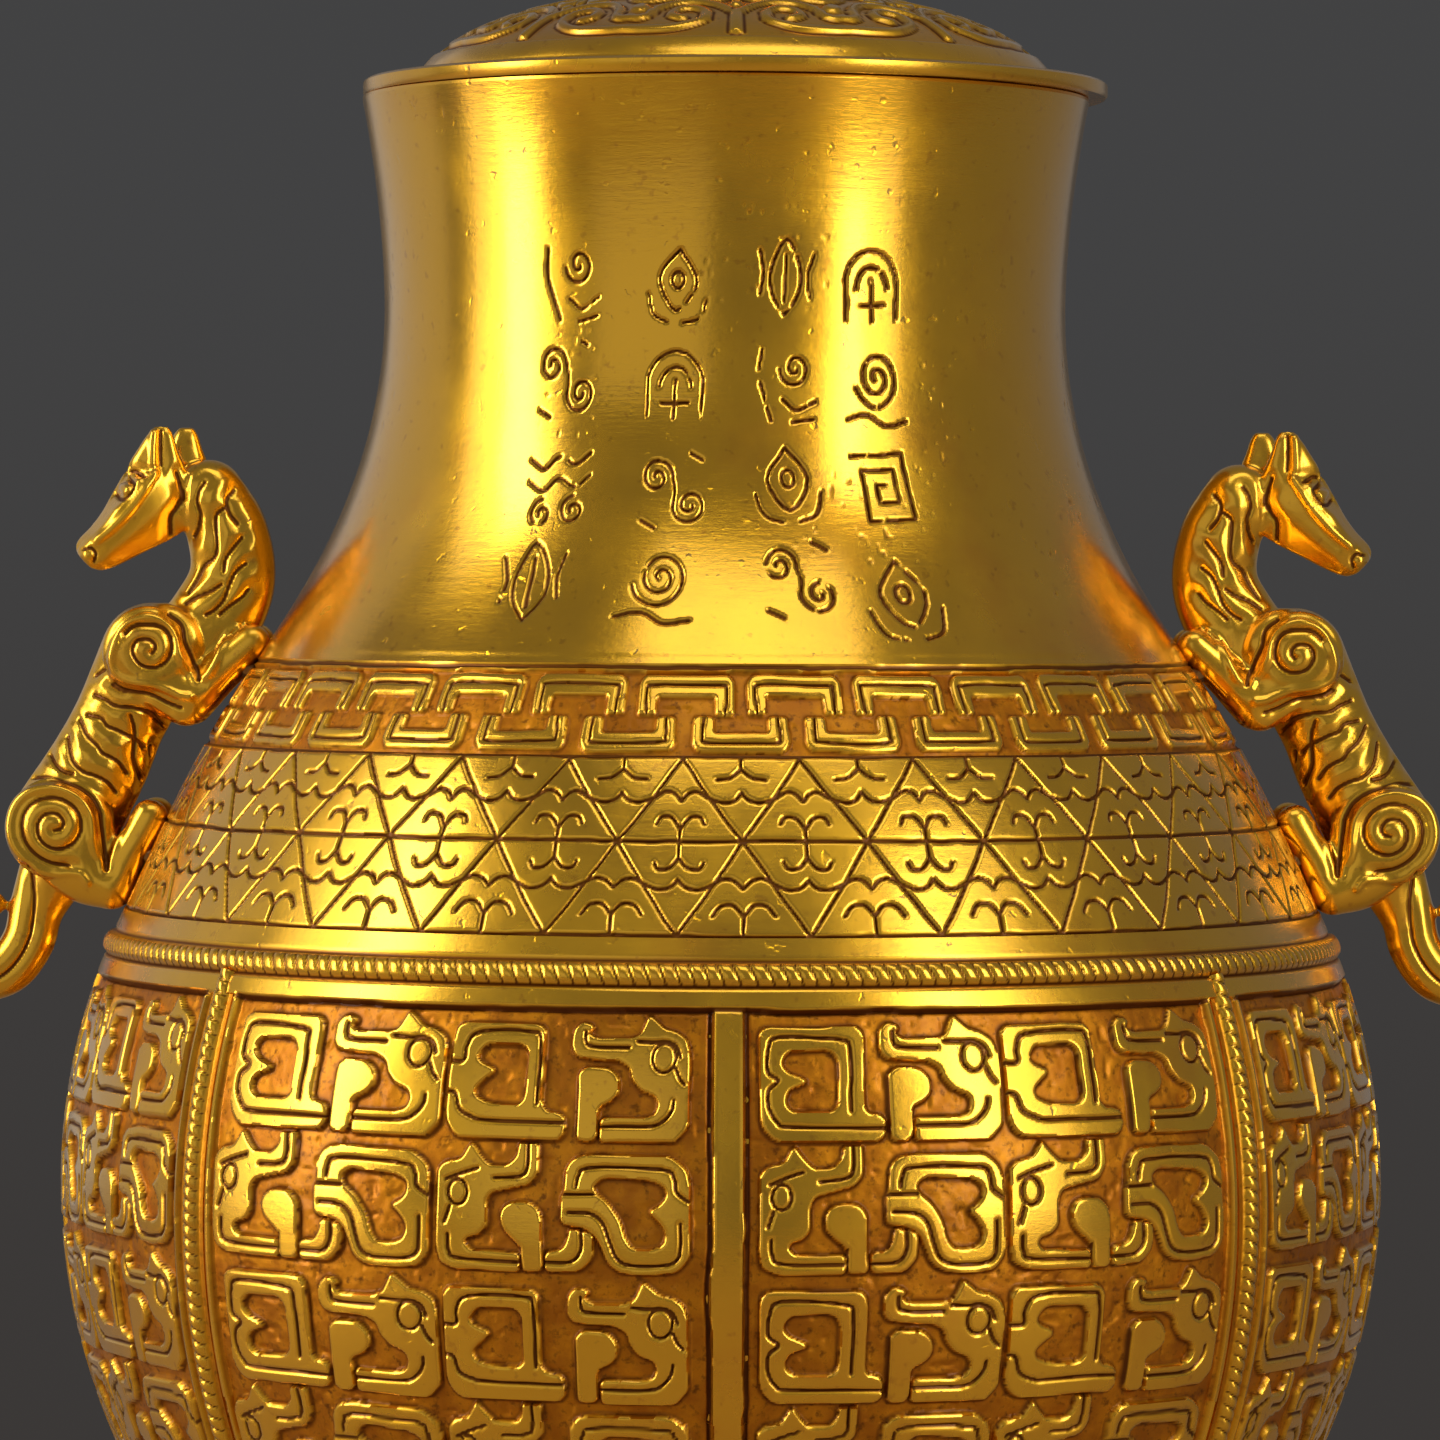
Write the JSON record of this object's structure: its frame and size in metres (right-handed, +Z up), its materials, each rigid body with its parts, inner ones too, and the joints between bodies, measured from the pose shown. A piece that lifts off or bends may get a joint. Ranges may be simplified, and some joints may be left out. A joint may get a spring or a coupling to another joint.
{
  "type": "lidded bronze bottle",
  "caption": "Pear-shaped gilt bronze wine bottle on a flared foot, with climbing beast handles and a loose domed lid that lifts off.",
  "frame": {"origin": "centre of the foot, on the surface that the bottle stands on", "axes": "+Z up along the bottle's axis, the handles on X, the front towards -Y"},
  "size_m": [0.3122, 0.263, 0.384],
  "materials": {
    "gilt_body": "polished gilding with a darker reddish ground in the recesses",
    "gilt_foot": "polished gilding, rubbed at the edges",
    "gilt_handle": "bright polished gilding",
    "gilt_lid": "polished gilding with soft relief",
    "bare_bronze": "dull bare bronze, as cast"
  },
  "bodies": {
    "vessel": {"vessel_body": "gilt_body", "foot_ring": "gilt_foot", "floor_disc": "bare_bronze", "left_beast_handle": "gilt_handle", "right_beast_handle": "gilt_handle", "left_forepaw_pin_front": "bare_bronze", "left_forepaw_pin_back": "bare_bronze", "left_hindpaw_pin_front": "bare_bronze", "left_hindpaw_pin_back": "bare_bronze", "right_forepaw_pin_front": "bare_bronze", "right_forepaw_pin_back": "bare_bronze", "right_hindpaw_pin_front": "bare_bronze", "right_hindpaw_pin_back": "bare_bronze"},
    "lid": {"lid_cover": "gilt_lid", "lid_collar": "bare_bronze", "lid_knob": "gilt_lid", "knob_rivet": "bare_bronze"}
  },
  "joints": [
    {"name": "lid_lift", "type": "slide", "parent": "vessel", "child": "lid", "axis": [0, 0, 1], "range_m": [0, 0.06]}
  ]
}
